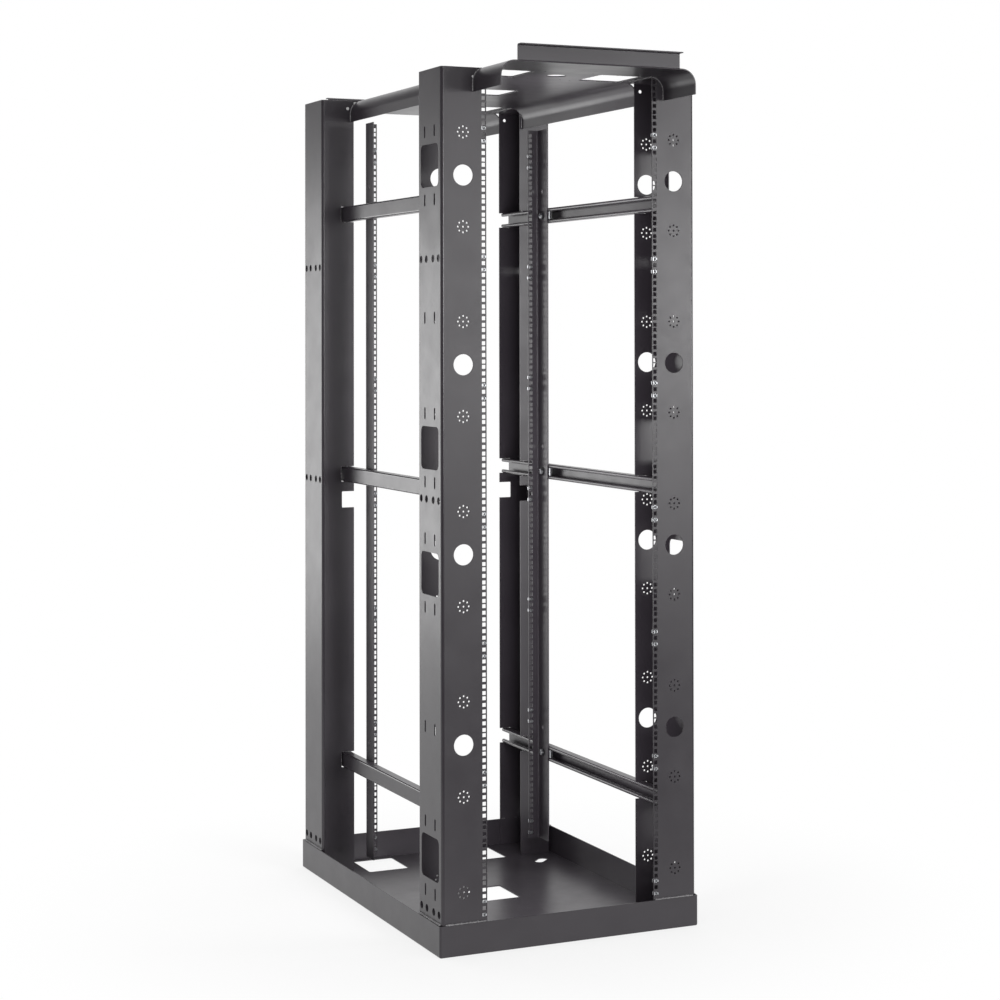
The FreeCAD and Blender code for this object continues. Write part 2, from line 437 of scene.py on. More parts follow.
def powder_coat(name, smoothest, roughest, peel_strength):
    """Satin black powder coat: fine orange peel, with soft changes of sheen over the sheet."""
    material, nodes, links = new_material(name)
    shader = nodes["Principled BSDF"]
    cloud = noise_node(nodes, links, 6.0, 3.0)
    colour = ramp_node(nodes, links, cloud.outputs["Fac"], coat_dark, coat_light)
    links.new(colour, shader.inputs["Base Color"])
    smear = noise_node(nodes, links, 14.0, 4.0, 0.6)
    sheen = ramp_node(nodes, links, smear.outputs["Fac"], grey(smoothest), grey(roughest))
    links.new(sheen, shader.inputs["Roughness"])
    peel = noise_node(nodes, links, 520.0, 2.0)
    bump = nodes.new("ShaderNodeBump")
    bump.inputs["Strength"].default_value = peel_strength
    bump.inputs["Distance"].default_value = 0.0002
    links.new(peel.outputs["Fac"], bump.inputs["Height"])
    links.new(bump.outputs["Normal"], shader.inputs["Normal"])
    shader.inputs["IOR"].default_value = 1.5
    return material


def zinc_plate():
    """Bright zinc plate with faint mottling."""
    material, nodes, links = new_material("zinc_plate")
    shader = nodes["Principled BSDF"]
    shader.inputs["Metallic"].default_value = 1.0
    mottle = noise_node(nodes, links, 240.0, 3.0)
    colour = ramp_node(nodes, links, mottle.outputs["Fac"], zinc_dark, zinc_light)
    links.new(colour, shader.inputs["Base Color"])
    sheen = ramp_node(nodes, links, mottle.outputs["Fac"], grey(0.28), grey(0.42))
    links.new(sheen, shader.inputs["Roughness"])
    scratch = noise_node(nodes, links, 1800.0, 2.0)
    bump = nodes.new("ShaderNodeBump")
    bump.inputs["Strength"].default_value = 0.15
    bump.inputs["Distance"].default_value = 0.0001
    links.new(scratch.outputs["Fac"], bump.inputs["Height"])
    links.new(bump.outputs["Normal"], shader.inputs["Normal"])
    return material


def black_oxide():
    """Dark washers with a dull metallic sheen."""
    material, nodes, links = new_material("black_oxide")
    shader = nodes["Principled BSDF"]
    shader.inputs["Metallic"].default_value = 0.6
    mottle = noise_node(nodes, links, 300.0, 3.0)
    colour = ramp_node(nodes, links, mottle.outputs["Fac"], oxide_dark, oxide_light)
    links.new(colour, shader.inputs["Base Color"])
    sheen = ramp_node(nodes, links, mottle.outputs["Fac"], grey(0.38), grey(0.5))
    links.new(sheen, shader.inputs["Roughness"])
    return material


def weld_with_glints_material():
    """Powder coat over a weld bead: uneven and shinier than on the sheet. Its light lumps are painted
    glints, colour that stands in for highlights.
    """
    material, nodes, links = new_material("weld_with_painted_glints")
    shader = nodes["Principled BSDF"]
    lumps = noise_node(nodes, links, 420.0, 4.0, 0.7)
    colour = ramp_node(nodes, links, lumps.outputs["Fac"], weld_dark, painted_weld_glint)
    links.new(colour, shader.inputs["Base Color"])
    shader.inputs["Roughness"].default_value = 0.22
    bump = nodes.new("ShaderNodeBump")
    bump.inputs["Strength"].default_value = 0.7
    bump.inputs["Distance"].default_value = 0.0006
    links.new(lumps.outputs["Fac"], bump.inputs["Height"])
    links.new(bump.outputs["Normal"], shader.inputs["Normal"])
    return material


def light_edge_material():
    """Cut edge with light grey spots in the coat colour."""
    material, nodes, links = new_material("light_edge_marks")
    shader = nodes["Principled BSDF"]
    spots = noise_node(nodes, links, 190.0, 4.0, 0.7)
    colour = ramp_node(nodes, links, spots.outputs["Fac"], coat_light, edge_mark_grey, 0.46, 0.62)
    links.new(colour, shader.inputs["Base Color"])
    shader.inputs["Roughness"].default_value = 0.4
    return material


powder = powder_coat("black_powder_coat", 0.29, 0.35, 0.14)
bend_coat = powder_coat("bend_powder_coat", 0.17, 0.21, 0.05)
zinc = zinc_plate()
oxide = black_oxide()
glint_painted_weld = weld_with_glints_material()
edge_mark_paint = light_edge_material()


# Pieces

def finish_piece(bm, name, material, nodes=(), mirror=False):
    """Turns the mesh into an object that rides on the rack and stands for the given nodes."""
    bmesh.ops.remove_doubles(bm, verts=bm.verts, dist=1e-6)
    if mirror:
        for vert in bm.verts:
            vert.co.x = -vert.co.x
    bmesh.ops.recalc_face_normals(bm, faces=bm.faces)
    for face in bm.faces:
        face.smooth = True
    for edge in bm.edges:
        edge.smooth = edge.calc_face_angle(0.0) < sharp_edge
    mesh = bpy.data.meshes.new(name)
    bm.to_mesh(mesh)
    bm.free()
    mesh.materials.append(material)
    if material is powder:
        mesh.materials.append(bend_coat)
    piece = bpy.data.objects.new(name, mesh)
    bpy.context.scene.collection.objects.link(piece)
    weight = piece.modifiers.new("flat_shading", "WEIGHTED_NORMAL")
    weight.keep_sharp = True
    weight.weight = 100
    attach(piece, "root")
    if nodes:
        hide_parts(*nodes)
    return piece


def both_sides(build, name, material, replaced=""):
    """Builds the left piece and its mirror image. SIDE stands for left or right in both names."""
    for side in ("left", "right"):
        bm = bmesh.new()
        build(bm)
        nodes = (replaced.replace("SIDE", side),) if replaced else ()
        finish_piece(bm, name.replace("SIDE", side), material, nodes, side == "right")


def column_holes(x, top):
    holes = []
    for space in range(space_count):
        for height in space_hole_heights:
            middle = first_space + space * space_height + height
            if middle + square_hole < top:
                holes.append((x, middle, square_hole, square_hole, square_corner))
    return holes


def flange_holes():
    """Large cable holes and rosettes of small holes, in both flanges of a front post."""
    holes = [circle(-cable_hole_x, height, cable_hole) for height in cable_hole_heights]
    for number in range(rosette_count):
        height = rosette_first + number * rosette_pitch
        holes.append(circle(-cable_hole_x, height, rosette_hole))
        for spoke in range(8):
            turn = spoke * math.pi / 4
            x = -cable_hole_x + rosette_ring / 2 * math.cos(turn)
            holes.append(circle(x, height + rosette_ring / 2 * math.sin(turn), rosette_hole))
    return holes


def join_holes(web_middle):
    return [circle(web_middle + offset, height, join_hole)
            for height in join_heights for offset in join_offsets]


def web_holes(web_middle):
    """Windows, tie slots and bolt holes in the web of a front post."""
    holes = join_holes(web_middle)
    slot_heights = [columns_middle + distance for distance in lone_slot_from_middle]
    for distance in window_from_middle:
        window = columns_middle + distance
        holes.append((web_middle, window, window_width, window_height, window_round))
        slot_heights += [window - slot_from_window, window + slot_from_window]
    for height in slot_heights:
        for offset in (-slot_spacing / 2, slot_spacing / 2):
            holes.append(slot(web_middle + offset, height, slot_width, slot_height))
    return holes


def notch(edge_x, floor_x, low, high):
    """Points of a notch with rounded inner corners, from its lower to its upper end."""
    points = [(edge_x, low)]
    for centre_z, first in ((low + notch_round, -math.pi / 2), (high - notch_round, -math.pi)):
        for step in range(5):
            turn = first - math.pi / 2 * step / 4
            x = floor_x + notch_round * (1 + math.cos(turn))
            points.append((x, centre_z + notch_round * math.sin(turn)))
    points.append((edge_x, high))
    return points


def flange_edge(edge_x, rail_notches, spare_notch=False, gap_side=rail_play, gap_height=rail_play):
    """Points of the free edge of a left flange from bottom to top, with its notches."""
    points = [(edge_x, post_bottom)]
    floor_x = -rail_outer_x - gap_side
    gaps = []
    if rail_notches:
        half = rail_height / 2 + gap_height
        gaps += [(floor_x, height - half, height + half) for height in rail_heights]
    if spare_notch:
        middle = rail_heights[1] - spare_notch_drop
        half = spare_notch_height / 2
        gaps.append((-inner_edge_x - spare_notch_depth, middle - half, middle + half))
    for floor, low, high in sorted(gaps, key=lambda gap: gap[1]):
        points += notch(edge_x, floor, low, high)
    points.append((edge_x, post_top))
    return points


def post_section(front_y, front_edge):
    rear_y = front_y + post_depth
    return [
        (front_edge, front_y, 0),
        (-half_width, front_y, bend_inside),
        (-half_width, rear_y, bend_inside),
        (-inner_edge_x, rear_y, 0),
    ]


def front_post(bm):
    front_y = -half_depth
    opening_x = -panel_opening / 2
    lug = circle(-lug_hole_x, lug_hole_height, lug_hole)
    front_lug = circle(-front_lug_x, lug_hole_height, front_lug_hole)
    holes = {
        0: column_holes(-column_x, post_top) + flange_holes() + [front_lug],
        1: web_holes(front_y + post_depth / 2),
        2: flange_holes() + [lug],
    }
    edges = {
        0: flange_edge(opening_x, rail_notches=False),
        2: flange_edge(-inner_edge_x, rail_notches=True),
    }
    fold(bm, post_section(front_y, opening_x), -1, post_bottom, post_top, along_z, holes, edges)


def rear_post(bm):
    front_y = half_depth - post_depth
    wide_edge = flange_edge(-inner_edge_x, True, True, notch_gap_side, notch_gap_height)
    tight_edge = flange_edge(-inner_edge_x, rail_notches=True, spare_notch=True)
    lug = circle(-lug_hole_x, lug_hole_height, lug_hole)
    holes = {0: [lug], 1: join_holes(front_y + post_depth / 2), 2: [lug]}
    section = post_section(front_y, -inner_edge_x)
    fold(bm, section, -1, post_bottom, post_top, along_z, holes, {0: wide_edge, 2: tight_edge})


def post_caps(bm):
    """Plates that close the tops of a left front and rear post, out to the neck of the top pan."""
    def place(x, y, depth):
        return Vector((x, y, post_top - depth)) * mm
    outer_x = sheet - half_width
    inner_x = -panel_opening / 2
    for front_y in (-half_depth, half_depth - post_depth):
        near = front_y + sheet
        far = front_y + post_depth - sheet
        panel(bm, place, [(outer_x, near), (inner_x, near), (inner_x, far), (outer_x, far)], [], sheet)


def mounting_rail(bm):
    back_y = mount_face_y + sheet
    section = [
        (-panel_opening / 2, back_y, 0),
        (-rail_inner_x, back_y, bend_inside),
        (-rail_inner_x, mount_face_y - mount_flange, 0),
    ]
    bolt_y = mount_face_y - mount_bolt_from_face
    side_holes = [circle(bolt_y, height + mount_small_hole_above_bolt, mount_small_hole)
                  for height in rail_heights]
    holes = {0: column_holes(-column_x, mount_rail_top), 1: side_holes}
    fold(bm, section, 1, mount_rail_bottom, mount_rail_top, along_z, holes)


def side_rail(middle):
    low = middle - rail_height / 2
    high = middle + rail_height / 2
    lip_x = -rail_inner_x
    section = [
        (lip_x - rail_lip_return, low + rail_lip, 0),
        (lip_x, low + rail_lip, rail_bend_inside),
        (lip_x, low, rail_bend_inside),
        (-rail_outer_x, low, rail_corner_inside),
        (-rail_outer_x, high, rail_corner_inside),
        (lip_x, high, rail_bend_inside),
        (lip_x, high - rail_lip, rail_bend_inside),
        (lip_x - rail_lip_return, high - rail_lip, 0),
    ]
    front = -half_depth + sheet + rail_play

    def build(bm):
        fold(bm, section, -1, front, half_depth, along_y)
    return build


def cutout_holes():
    """Cable cut-outs, alike in the base tray and the top pan."""
    places = [(0, 0)]
    for x in (-cable_cutout_x, cable_cutout_x):
        for y in (cable_cutout_from_end - half_depth, half_depth - cable_cutout_from_end):
            places.append((x, y))
    return [(x, y, cable_cutout_width, cable_cutout_length, cable_cutout_round) for x, y in places]


def pan_flat_holes():
    holes = cutout_holes()
    for side in (-1, 1):
        end = side * half_depth
        holes.append(circle(0, end - side * cable_cutout_from_end, pan_hole))
        for distance, inset in pan_screws:
            for x in (-distance, distance):
                holes.append(circle(x, end - side * inset, screw_hole))
    return holes


def pan_shoulder(bm, side, low, high):
    """Straight skirt and rounded shoulder at one side of the pan, from low to high."""
    steps = 14
    rows = {}
    for y in (low, high):
        for radius in (pan_round, pan_round - sheet):
            points = [(pan_centre_x + radius, pan_top - pan_drop)]
            for step in range(steps + 1):
                turn = math.pi / 2 * step / steps
                points.append((pan_centre_x + radius * math.cos(turn),
                               pan_centre_z + radius * math.sin(turn)))
            rows[y, radius] = [bm.verts.new(Vector((side * x, y, z)) * mm) for x, z in points]
    outer_low, inner_low, outer_high, inner_high = rows.values()
    for first, second in ((outer_low, outer_high), (inner_low, inner_high),
                          (outer_low, inner_low), (outer_high, inner_high)):
        strip(bm, first, second, closed=False)
    for end in (0, -1):
        bm.faces.new((outer_low[end], outer_high[end], inner_high[end], inner_low[end]))


def top_pan(bm):
    """Flat with cut-outs. The skirts stop at the post flanges, and only the flat passes between them."""
    edge = half_depth + pan_overhang
    root = edge - upstand_root
    wide = pan_centre_x - pan_seam
    neck = panel_opening / 2 - pan_play
    near_post = half_depth - post_depth - pan_play
    far_post = half_depth + pan_play
    front_half = [(wide, -root), (wide, -far_post), (neck, -far_post)]
    front_half += [(neck, -near_post), (wide, -near_post)]
    right_side = front_half + [(x, -y) for x, y in reversed(front_half)]
    flat = right_side + [(-x, y) for x, y in reversed(right_side)]

    def from_top(x, y, depth):
        return Vector((x, y, pan_top - depth)) * mm
    panel(bm, from_top, flat, pan_flat_holes(), sheet)
    for side in (-1, 1):
        pan_shoulder(bm, side, -edge, -far_post)
        pan_shoulder(bm, side, -near_post, near_post)
        pan_shoulder(bm, side, far_post, edge)
    top = pan_top + upstand_height
    for end in (-1, 1):
        upstand = [
            (end * root, post_top, 0),
            (end * edge, post_top, upstand_bend_inside),
            (end * edge, top - sheet, upstand_bend_inside),
            (end * (edge + upstand_lip), top - sheet, 0),
        ]
        fold(bm, upstand, end, -upstand_half_width, upstand_half_width, along_x)
        corner = sorted((end * root, end * edge))
        for x_range in ((-wide, -upstand_half_width), (upstand_half_width, wide)):
            box_shell(bm, x_range, corner, (post_top, pan_top))


def base_tray(bm):
    inside_width = rack_width + 2 * tray_gap_side
    inside_depth = rack_depth + 2 * tray_gap_end
    width = inside_width + 2 * sheet
    depth = inside_depth + 2 * sheet

    def ring(grow, height):
        loop = rounded(0, 0, width, depth, tray_corner, grow=grow)
        return [bm.verts.new(Vector((x, y, height)) * mm) for x, y in loop]

    holes = cutout_holes()
    for x in (-anchor_spacing_x / 2, anchor_spacing_x / 2):
        for y in (-anchor_spacing_y / 2, anchor_spacing_y / 2):
            holes.append((x, y, anchor_length, anchor_width, anchor_round, math.atan2(y, x)))
    profile = []
    for step in range(6):
        turn = math.pi / 2 * step / 5
        profile.append((-tray_fold + tray_fold * math.sin(turn), tray_fold - tray_fold * math.cos(turn)))
    profile += [
        (0, tray_height - edge_break),
        (-edge_break, tray_height),
        (-sheet + edge_break, tray_height),
        (-sheet, tray_height - edge_break),
        (-sheet, tray_floor),
        (-tray_fold, tray_floor),
    ]
    rings = [ring(grow, height) for grow, height in profile]
    for first, second in zip(rings, rings[1:]):
        strip(bm, first, second)
    floor_loop = rounded(0, 0, width, depth, tray_corner, grow=-tray_fold)

    def to_floor(x, y, height):
        return Vector((x, y, height)) * mm
    panel(bm, to_floor, floor_loop, holes, tray_floor, range(len(floor_loop)))


# Fasteners

def box_shell(bm, x_range, y_range, z_range):
    """Closed box from its ranges."""
    points = [Vector((x, y, z)) * mm for x in x_range for y in y_range for z in z_range]
    verts = [bm.verts.new(point) for point in points]
    for quad in ((0, 1, 3, 2), (4, 6, 7, 5), (0, 4, 5, 1), (2, 3, 7, 6), (0, 2, 6, 4), (1, 5, 7, 3)):
        bm.faces.new([verts[i] for i in quad])


def cage_nuts(face_y):
    """Cage nuts of a left column."""
    back = face_y + sheet

    def build(bm):
        for space in range(0, space_count, nut_every):
            for height in (space_hole_heights[0], space_hole_heights[-1]):
                middle = first_space + space * space_height + height
                cage_nut(bm, -column_x, face_y, back, middle)
    return build


def cage_nut(bm, x, face_y, back, z):
    """A threaded nut in a sprung cage, whose wings grip the sides of the square hole."""
    half_w = nut_width / 2
    grip = square_hole / 2 - cage_grip_play

    def about(height):
        return (z - height / 2, z + height / 2)

    def at_back(a, b, depth):
        return Vector((x + a, back + depth, z + b)) * mm

    plate = rounded(0, 0, nut_width, nut_height, cage_round)
    panel(bm, at_back, plate, [circle(0, 0, nut_boss + cage_boss_play)], cage_sheet)
    nut_front = back + cage_sheet + cage_nut_gap

    def in_nut(a, b, depth):
        return Vector((x + a, nut_front + depth, z + b)) * mm

    body = rounded(0, 0, nut_width - nut_narrower, nut_height - nut_shorter, nut_round)
    body_depth = nut_depth - cage_sheet - 2 * cage_nut_gap
    panel(bm, in_nut, body, [circle(0, 0, nut_boss)], body_depth)
    boss = nut_boss / 2
    bore = thread_hole / 2
    start = face_y + boss_from_face
    length = nut_front + body_depth - boss_behind_body - start
    profile = [(boss, length), (boss, boss_chamfer), (boss - boss_chamfer, 0.0)]
    profile += [(bore + bore_chamfer, 0.0), (bore, bore_chamfer)]
    turns = int((length - thread_pitch) / thread_pitch)
    for number in range(turns):
        root = bore_chamfer + (number + 0.5) * thread_pitch
        profile += [(bore + thread_cut, root), (bore, root + thread_pitch / 2)]
    profile.append((bore, length))

    def about_y(a, b, distance):
        return Vector((x + a, start + distance, z + b)) * mm
    ring(bm, about_y, profile, 24)
    for side in (-1, 1):
        wing_x = sorted((x + side * grip, x + side * (grip - cage_sheet)))
        box_shell(bm, wing_x, (face_y + 0.2, back + 0.4), about(cage_wing_height))
        lip_x = sorted((x + side * (grip - cage_sheet), x + side * (grip + cage_lip_reach)))
        lip_back = face_y - cage_lip_from_face
        box_shell(bm, lip_x, (lip_back - 0.6, lip_back), about(cage_lip_height))
        wall_x = sorted((x + side * half_w, x + side * (half_w - cage_sheet)))
        wall_y = (back + cage_sheet, back + nut_depth)
        box_shell(bm, wall_x, wall_y, about(nut_height * cage_wall_share))


def ring(bm, place, profile, segments):
    """Round shape with a bore, about a closed profile of (radius, distance)."""
    rows = []
    for radius, distance in profile:
        row = []
        for i in range(segments):
            turn = 2 * math.pi * i / segments
            row.append(bm.verts.new(place(radius * math.cos(turn), radius * math.sin(turn), distance)))
        rows.append(row)
    for first, second in zip(rows, rows[1:] + rows[:1]):
        strip(bm, first, second)


def strut_nuts(bm):
    face = -rail_inner_x - rail_lip_return
    centre_y = mount_face_y - mount_bolt_from_face
    for height in rail_heights:
        def place(a, b, depth, height=height):
            return Vector((face - depth, centre_y + a, height + b)) * mm
        body = rounded(0, 0, strut_nut_length, strut_nut_height, 1.5)
        panel(bm, place, body, [circle(0, 0, strut_thread)], strut_nut_depth)
        edge_y = mount_face_y - mount_flange
        tongue_y = (edge_y - strut_tongue_length, edge_y + strut_tongue_length)
        tongue_x = (-rail_inner_x - rail_lip_return, -rail_inner_x - 0.6)
        half = strut_nut_height / 2
        box_shell(bm, tongue_x, tongue_y, (height - half, height + half))


def turned(bm, centre, profile, segments=32):
    """Round shape about an axis along X. The profile holds (radius, distance towards the middle)."""
    rows = []
    for radius, distance in profile:
        row = []
        for i in range(segments):
            turn = 2 * math.pi * i / segments
            offset = Vector((distance, radius * math.cos(turn), radius * math.sin(turn)))
            row.append(bm.verts.new((centre + offset) * mm))
        rows.append(row)
    for first, second in zip(rows, rows[1:]):
        strip(bm, first, second)
    bm.faces.new(rows[0])
    bm.faces.new(rows[-1])


def rail_bolts(bm):
    """Domed bolt heads with a round recess, on the inner face of the mounting rail's side flange."""
    seat = -rail_inner_x + sheet + washer_thickness
    for height in rail_heights:
        centre = Vector((seat, mount_face_y - mount_bolt_from_face, height))
        rim = bolt_head / 2
        recess = bolt_recess / 2
        profile = [(rim - edge_break, 0), (rim, 0.5), (rim, bolt_rim_height)]
        for step in range(1, 7):
            turn = math.pi / 2 * step / 7
            profile.append((recess + (rim - recess) * math.cos(turn),
                            bolt_rim_height + (bolt_head_height - bolt_rim_height) * math.sin(turn)))
        profile += [(recess + 0.2, bolt_head_height), (recess, bolt_head_height - 0.4)]
        profile.append((recess - 0.2, bolt_recess_floor))
        turned(bm, centre, profile)


def rail_washers(bm):
    seat = -rail_inner_x + sheet
    for height in rail_heights:
        centre = Vector((seat, mount_face_y - mount_bolt_from_face, height))
        rim = washer_width / 2
        profile = [(rim - edge_break, 0), (rim, edge_break)]
        profile += [(rim, washer_thickness - edge_break), (rim - edge_break, washer_thickness)]
        turned(bm, centre, profile)


# Welds

def weld(bm, start, end, across, out, radius):
    """Weld bead with ripples from start to end. It fills the two directions across and out."""
    start = Vector(start)
    end = Vector(end)
    across = Vector(across)
    out = Vector(out)
    length = (end - start).length
    count = max(3, int(length / (weld_pitch / 3)))
    rows = []
    for i in range(count + 1):
        share = i / count
        spot = start.lerp(end, share)
        ripple = 0.86 + 0.14 * abs(math.sin(math.pi * share * length / weld_pitch))
        drift = 1 + weld_drift * noise.noise(spot * 0.2)
        size = radius * ripple * drift
        if i in (0, count):
            size *= 0.4
        row = []
        for step in range(7):
            turn = math.pi * step / 6
            offset = across * math.cos(turn) * size + out * math.sin(turn) * size * weld_flatness
            row.append(bm.verts.new((spot + offset) * mm))
        rows.append(row)
    for first, second in zip(rows, rows[1:]):
        strip(bm, first, second)
    bm.faces.new(rows[0])
    bm.faces.new(rows[-1])


def tray_welds(bm):
    """Welds of a left front and rear post to the rim of the tray."""
    rim = tray_height + 0.9
    web_x = -half_width - tray_weld / 4
    for end in (-1, 1):
        wall = end * (half_depth + tray_gap_end + sheet / 3)
        edge_x = -panel_opening / 2 if end < 0 else -inner_edge_x
        outer = (-half_width + tray_weld_from_corner, wall, rim)
        weld(bm, outer, (edge_x - tray_weld_from_edge, wall, rim), (0, end, 0), (0, 0, 1), tray_weld)
        near = end * (half_depth - tray_weld_from_corner)
        far = end * (half_depth - post_depth + tray_weld_from_web_end)
        weld(bm, (web_x, near, rim), (web_x, far, rim), (1, 0, 0), (0, 0, 1), tray_weld)


def pan_welds(bm):
    """Weld lines where the skirts of the top pan meet the flanges of the left posts, outside and inside."""
    low = pan_top - pan_drop + weld_from_end
    outside = pan_round + weld_off_sheet
    inside = pan_round - sheet - weld_off_sheet
    for face_y, out in ((-half_depth, -1), (-half_depth + post_depth, 1),
                        (half_depth - post_depth, -1), (half_depth, 1)):
        edge_x = panel_opening / 2 if face_y == -half_depth else inner_edge_x
        for radius, size in ((outside, pan_weld_outside), (inside, pan_weld_inside)):
            skirt_x = -pan_centre_x - radius
            foot = (skirt_x, face_y, low)
            weld(bm, foot, (skirt_x, face_y, pan_centre_z), (1, 0, 0), (0, out, 0), size)
            last = min(math.asin(min(1, (post_top - pan_centre_z) / radius)),
                       math.acos((edge_x + 1 - pan_centre_x) / radius))
            steps = 6
            for step in range(steps):
                turns = (last * step / steps, last * (step + 1) / steps)
                ends = [(-pan_centre_x - radius * math.cos(t), face_y,
                         pan_centre_z + radius * math.sin(t)) for t in turns]
                middle = sum(turns) / 2
                across = (-math.cos(middle), 0, math.sin(middle))
                weld(bm, ends[0], ends[1], across, (0, out, 0), size)


def bead_along(bm, points, out):
    """Thin ragged bead along a row of points, which stands out in one direction."""
    out = Vector(out)
    for start, end in zip(points, points[1:]):
        along = (Vector(end) - Vector(start)).normalized()
        weld(bm, start, end, along.cross(out), out, edge_bead)


def notch_marks(bm):
    """Ragged light beads round the rail notches of a left rear post, on its front flange."""
    face_y = half_depth - post_depth
    half = rail_height / 2 + notch_gap_height
    floor_x = -rail_outer_x - notch_gap_side
    for height in rail_heights:
        outline = notch(-inner_edge_x - 3.0, floor_x, height - half, height + half)
        bead_along(bm, [(x, face_y, z) for x, z in outline], (0, -1, 0))


def top_marks(bm):
    """Ragged light beads along the cut edges on top of the front flanges of the left posts."""
    rear_post_y = half_depth - post_depth
    for front_y, front_edge in ((-half_depth, -panel_opening / 2), (rear_post_y, -inner_edge_x)):
        start = (-half_width + 8, front_y + sheet / 2, post_top)
        bead_along(bm, [start, (front_edge - 2, front_y + sheet / 2, post_top)], (0, 0, 1))


def cutout_marks(bm):
    """Ragged light beads round the cut-outs of the top pan, on its underside."""
    for hole in cutout_holes():
        loop = rounded(*hole, grow=edge_break)
        loop.append(loop[0])
        bead_along(bm, [(x, y, post_top) for x, y in loop], (0, 0, -1))


def build_rack():
    both_sides(front_post, "front_SIDE_post_detail", powder, "front_SIDE_post")
    both_sides(rear_post, "rear_SIDE_post_detail", powder, "rear_SIDE_post")
    both_sides(mounting_rail, "rear_SIDE_rail_detail", powder, "rear_SIDE_mounting_rail")
    for level, height in zip(("low", "middle", "high"), rail_heights):
        rail = side_rail(height)
        both_sides(rail, "SIDE_strut_" + level, powder, "SIDE_side_rail_" + level)
    both_sides(cage_nuts(-half_depth), "front_SIDE_nuts", zinc, "front_SIDE_cage_nuts")
    both_sides(cage_nuts(mount_face_y), "rear_SIDE_nuts", zinc, "rear_SIDE_cage_nuts")
    both_sides(strut_nuts, "SIDE_channel_nuts", zinc, "SIDE_strut_nuts")
    both_sides(rail_bolts, "SIDE_rail_bolts", zinc)
    both_sides(rail_washers, "SIDE_rail_washers", oxide)
    both_sides(post_caps, "SIDE_post_caps", powder)
    both_sides(tray_welds, "SIDE_tray_welds", glint_painted_weld)
    both_sides(pan_welds, "SIDE_pan_welds", glint_painted_weld)
    both_sides(notch_marks, "SIDE_notch_marks", edge_mark_paint)
    both_sides(top_marks, "SIDE_top_marks", edge_mark_paint)
    bm = bmesh.new()
    cutout_marks(bm)
    finish_piece(bm, "pan_cutout_marks", edge_mark_paint)
    whole_pieces = ((base_tray, "tray_detail", "base_tray"), (top_pan, "pan_detail", "top_pan"))
    for build, name, node in whole_pieces:
        bm = bmesh.new()
        build(bm)
        finish_piece(bm, name, powder, (node,))


build_rack()


# Floor, light and camera

world_light = 0.63
floor_size = 30.0


def seen_directly(nodes, links):
    """One for rays of the camera, of reflections and through glass, and zero for the light on surfaces."""
    path = nodes.new("ShaderNodeLightPath")
    total = path.outputs["Is Camera Ray"]
    for name in ("Is Glossy Ray", "Is Transmission Ray"):
        either = nodes.new("ShaderNodeMath")
        either.operation = "MAXIMUM"
        links.new(total, either.inputs[0])
        links.new(path.outputs[name], either.inputs[1])
        total = either.outputs[0]
    return total


def studio_floor():
    """Pale floor with the shadow of the rack, that turns into the white background further out."""
    bm = bmesh.new()
    corners = [(x * floor_size, y * floor_size, 0) for x, y in ((-1, -1), (1, -1), (1, 1), (-1, 1))]
    bm.faces.new([bm.verts.new(corner) for corner in corners])
    mesh = bpy.data.meshes.new("studio_floor")
    bm.to_mesh(mesh)
    bm.free()
    floor = bpy.data.objects.new("studio_floor", mesh)
    bpy.context.scene.collection.objects.link(floor)
    material, nodes, links = new_material("pale_floor")
    shader = nodes["Principled BSDF"]
    shader.inputs["Base Color"].default_value = (0.93, 0.93, 0.93, 1)
    shader.inputs["Roughness"].default_value = 0.9
    white = nodes.new("ShaderNodeEmission")
    white.inputs["Color"].default_value = (1, 1, 1, 1)
    in_front = nodes.new("ShaderNodeSeparateXYZ")
    glossy_white = nodes.new("ShaderNodeMapRange")
    glossy_white.inputs["From Min"].default_value = -2.5
    glossy_white.inputs["From Max"].default_value = -0.6
    glossy_white.inputs["To Min"].default_value = 0.12
    glossy_white.inputs["To Max"].default_value = 1.0
    links.new(in_front.outputs["Y"], glossy_white.inputs["Value"])
    camera_or_reflected = nodes.new("ShaderNodeMath")
    camera_or_reflected.operation = "MAXIMUM"
    links.new(glossy_white.outputs["Result"], camera_or_reflected.inputs[0])
    links.new(nodes.new("ShaderNodeLightPath").outputs["Is Camera Ray"], camera_or_reflected.inputs[1])
    links.new(camera_or_reflected.outputs[0], white.inputs["Strength"])
    coords = nodes.new("ShaderNodeTexCoord")
    distance = nodes.new("ShaderNodeVectorMath")
    distance.operation = "LENGTH"
    links.new(coords.outputs["Object"], distance.inputs[0])
    links.new(coords.outputs["Object"], in_front.inputs[0])
    share = nodes.new("ShaderNodeMapRange")
    share.interpolation_type = "SMOOTHSTEP"
    share.inputs["From Min"].default_value = 0.6
    share.inputs["From Max"].default_value = 1.4
    share.inputs["To Min"].default_value = 0.8
    share.inputs["To Max"].default_value = 1.0
    links.new(distance.outputs["Value"], share.inputs["Value"])
    shown = nodes.new("ShaderNodeMath")
    shown.operation = "MULTIPLY"
    links.new(share.outputs["Result"], shown.inputs[0])
    links.new(seen_directly(nodes, links), shown.inputs[1])
    mix = nodes.new("ShaderNodeMixShader")
    links.new(shown.outputs[0], mix.inputs[0])
    links.new(shader.outputs["BSDF"], mix.inputs[1])
    links.new(white.outputs["Emission"], mix.inputs[2])
    links.new(mix.outputs[0], nodes["Material Output"].inputs["Surface"])
    mesh.materials.append(material)


